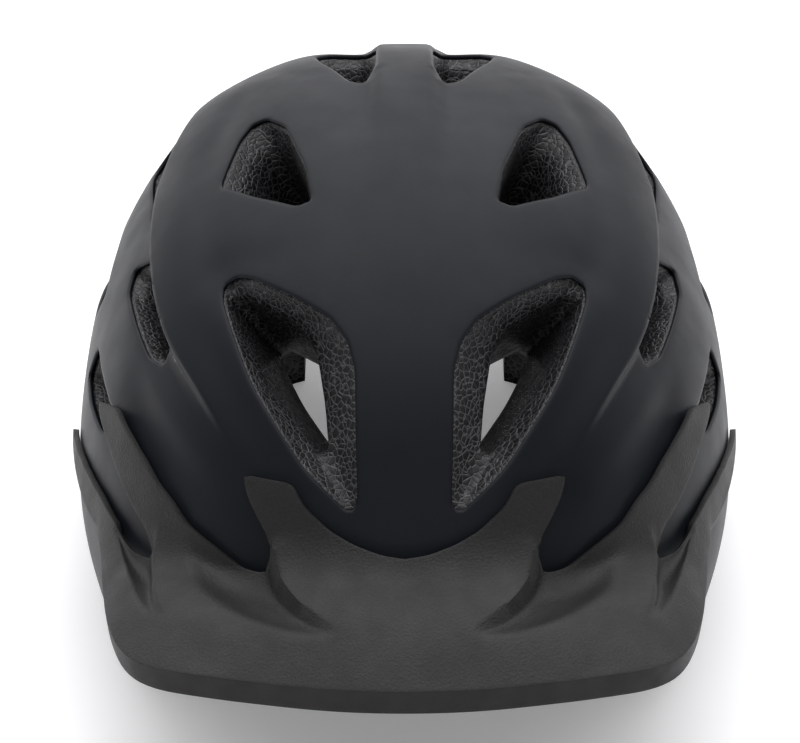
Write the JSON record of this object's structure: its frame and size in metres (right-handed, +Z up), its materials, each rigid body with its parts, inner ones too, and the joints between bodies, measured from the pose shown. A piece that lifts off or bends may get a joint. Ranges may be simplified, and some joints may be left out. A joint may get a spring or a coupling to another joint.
{
  "type": "cycling helmet",
  "caption": "Vented cycling helmet with foam liner, tilting visor, dial-adjusted head ring, webbing straps with cam dividers and a side-release buckle.",
  "frame": {"origin": "middle of the bounding box in x and y, on the plane the helmet stands on", "axes": "+Z up, the front with the visor faces -Y, +X is the wearer's left, lengths in metres"},
  "size_m": [0.2056, 0.3163, 0.1527],
  "materials": {
    "shell": "matt",
    "wrap": "matt",
    "foam": "satin",
    "pad": "matt",
    "anchor_plastic": "satin",
    "webbing": "matt",
    "buckle_plastic": "satin",
    "steel": "satin",
    "visor_plastic": "matt",
    "ring_plastic": "satin",
    "grip": "matt"
  },
  "bodies": {
    "helmet": {"outer_shell": "shell", "rim_wrap": "wrap", "foam_liner": "foam", "brow_pad": "pad", "crown_pad": "pad", "side_pad_left": "pad", "side_pad_right": "pad", "anchor_front_left": "anchor_plastic", "anchor_front_right": "anchor_plastic", "anchor_rear_left": "anchor_plastic", "anchor_rear_right": "anchor_plastic", "temple_anchor_left": "anchor_plastic", "temple_anchor_right": "anchor_plastic", "strap_front_left": "webbing", "strap_front_right": "webbing", "strap_rear_left": "webbing", "strap_rear_right": "webbing", "chin_strap_left": "webbing", "chin_strap_right": "webbing", "buckle_female": "buckle_plastic", "divider_left": "buckle_plastic", "divider_right": "buckle_plastic", "lever_pin_left": "steel", "lever_pin_right": "steel"},
    "visor": {"visor": "visor_plastic", "visor_pin_left": "visor_plastic", "visor_pin_right": "visor_plastic"},
    "harness": {"arm_left": "ring_plastic", "arm_right": "ring_plastic", "band_left": "ring_plastic", "band_right": "ring_plastic"},
    "cradle": {"cradle_frame": "ring_plastic", "gear_housing": "ring_plastic", "gear_cover": "ring_plastic", "cradle_pad_left": "pad", "cradle_pad_right": "pad"},
    "dial": {"dial_knob": "ring_plastic", "dial_grip": "grip", "dial_screw": "steel", "pinion": "ring_plastic"},
    "rack_left": {"rack_left": "ring_plastic"},
    "rack_right": {"rack_right": "ring_plastic"},
    "lever_left": {"lever_left": "buckle_plastic"},
    "lever_right": {"lever_right": "buckle_plastic"},
    "buckle_male": {"buckle_male": "buckle_plastic"}
  },
  "joints": [
    {"name": "visor_tilt", "type": "hinge", "parent": "helmet", "child": "visor", "pos_m": [0, -0.0155, 0.057], "axis": [-1, 0, 0], "range_deg": [0, 12]},
    {"name": "harness_tilt", "type": "hinge", "parent": "helmet", "child": "harness", "pos_m": [0, -0.0235, 0.046], "axis": [1, 0, 0], "range_deg": [-2, 3]},
    {"name": "cradle_slide", "type": "slide", "parent": "harness", "child": "cradle", "axis": [0, -1, 0], "range_m": [0, 0.008]},
    {"name": "dial_turn", "type": "hinge", "parent": "cradle", "child": "dial", "pos_m": [0, 0.1065, 0.022], "axis": [0, -1, 0], "range_deg": [0, 172]},
    {"name": "rack_left_slide", "type": "slide", "parent": "harness", "child": "rack_left", "axis": [0.8292, -0.5589, 0], "range_m": [0, 0.0144]},
    {"name": "rack_right_slide", "type": "slide", "parent": "harness", "child": "rack_right", "axis": [-0.8292, -0.5589, 0], "range_m": [0, 0.0144]},
    {"name": "lever_left_turn", "type": "hinge", "parent": "helmet", "child": "lever_left", "pos_m": [-0.034, 0.0305, 0.0037], "axis": [0, 1, 0], "range_deg": [0, 100]},
    {"name": "lever_right_turn", "type": "hinge", "parent": "helmet", "child": "lever_right", "pos_m": [0.034, 0.0305, 0.0037], "axis": [0, -1, 0], "range_deg": [0, 100]},
    {"name": "buckle_pull", "type": "slide", "parent": "helmet", "child": "buckle_male", "axis": [1, 0, 0], "range_m": [0, 0.004]}
  ],
  "couplings": [
    {"joint": "dial_turn", "follows": "cradle_slide", "rad_per_m": 370.88},
    {"joint": "rack_left_slide", "follows": "cradle_slide", "ratio": 1.7891},
    {"joint": "rack_right_slide", "follows": "cradle_slide", "ratio": 1.7891}
  ]
}
